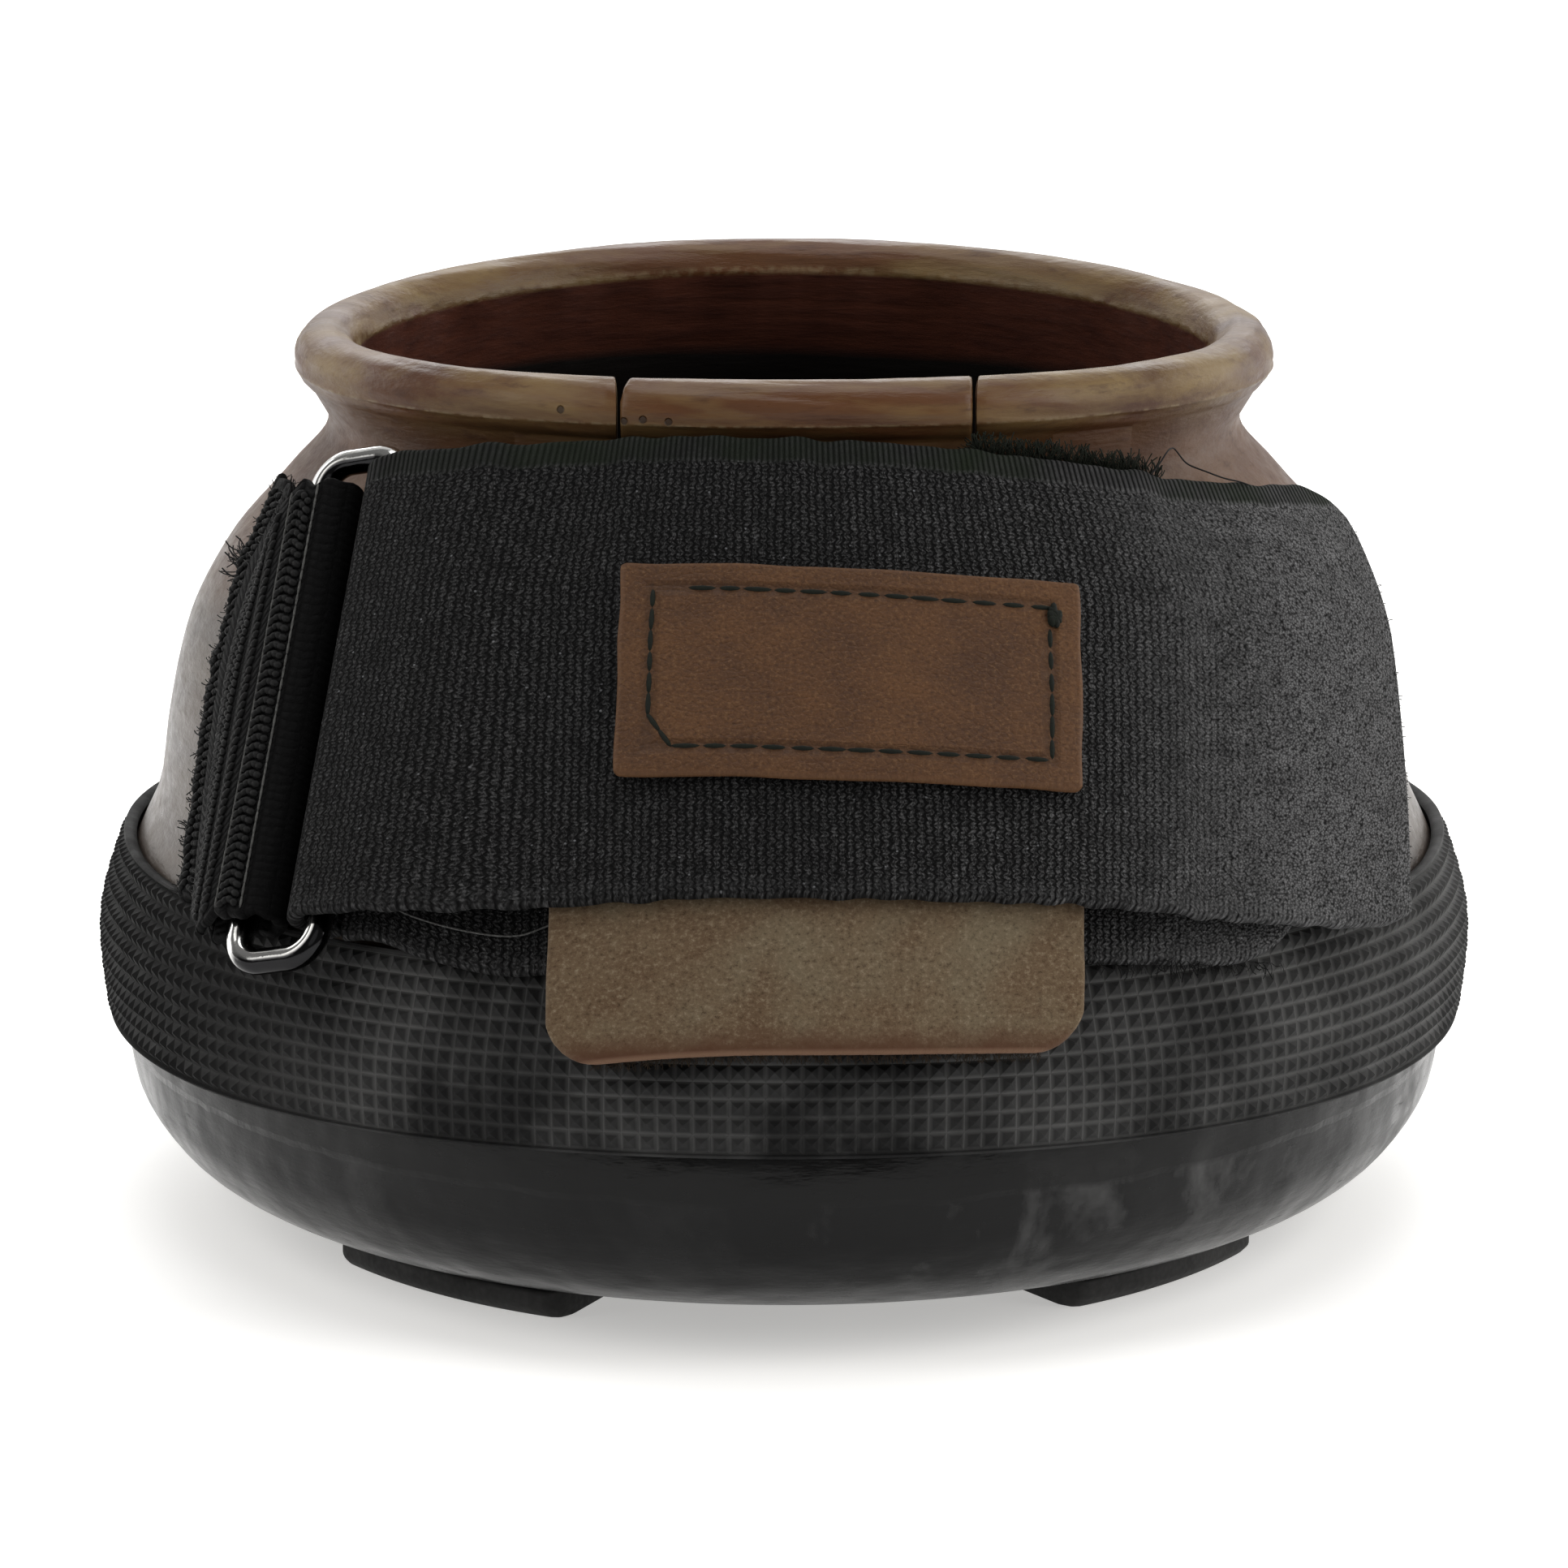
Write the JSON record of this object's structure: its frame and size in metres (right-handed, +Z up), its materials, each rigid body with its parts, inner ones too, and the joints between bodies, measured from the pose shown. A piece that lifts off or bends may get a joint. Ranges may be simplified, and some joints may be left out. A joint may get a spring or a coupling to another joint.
{
  "type": "horse hoof boot",
  "caption": "Round rubber hoof boot with a rolled collar, cup sole, textured foxing band, elastic strap turned through a metal ring, leather guard and patch.",
  "frame": {"origin": "middle of the boot's outline on the ground plane that the tread pads stand on", "axes": "+Z up, -Y towards the toe, +X to the right of a viewer who faces the toe"},
  "size_m": [0.1502, 0.1504, 0.0954],
  "materials": {
    "brown_rubber": "glossy moulded rubber",
    "black_rubber": "glossy moulded rubber",
    "band_rubber": "matte rubber tape with a pyramid grain",
    "tread_rubber": "matte",
    "insole_felt": "dark felted pad",
    "strap_fabric": "brushed elastic",
    "hook_fabric": "hook tape",
    "webbing_fabric": "ribbed webbing",
    "guard_leather": "suede",
    "patch_leather": "smooth leather, stitched frame",
    "chrome": "polished wire"
  },
  "bodies": {
    "boot": {"upper_shell": "brown_rubber", "outsole": "black_rubber", "insole": "insole_felt", "tread_pad_front_left": "tread_rubber", "tread_pad_front_right": "tread_rubber", "tread_pad_rear_left": "tread_rubber", "tread_pad_rear_right": "tread_rubber", "foxing_band": "band_rubber", "inner_strap": "strap_fabric", "guard_flap": "guard_leather", "webbing_loop": "webbing_fabric"},
    "tab": {"front_tab": "brown_rubber"},
    "ring": {"strap_ring": "chrome", "strap_fold": "strap_fabric"},
    "free_strap": {"outer_strap": "strap_fabric", "hook_patch": "hook_fabric", "label_patch": "patch_leather"}
  },
  "joints": [
    {"name": "tab_bend", "type": "hinge", "parent": "boot", "child": "tab", "pos_m": [0.0013, -0.04712, 0.0533], "axis": [-1, 0, 0], "range_deg": [0, 12], "stiffness_Nm_per_rad": 0.03},
    {"name": "ring_swing", "type": "hinge", "parent": "boot", "child": "ring", "pos_m": [-0.05272, -0.03073, 0.06167], "axis": [-0.1506, -0.6055, -0.7814], "range_deg": [0, 25], "stiffness_Nm_per_rad": 0.04, "springref_deg": -20.05},
    {"name": "strap_peel", "type": "hinge", "parent": "ring", "child": "free_strap", "pos_m": [-0.04277, -0.03984, 0.0668], "axis": [-0.1506, -0.6055, -0.7814], "range_deg": [0, 150]}
  ]
}
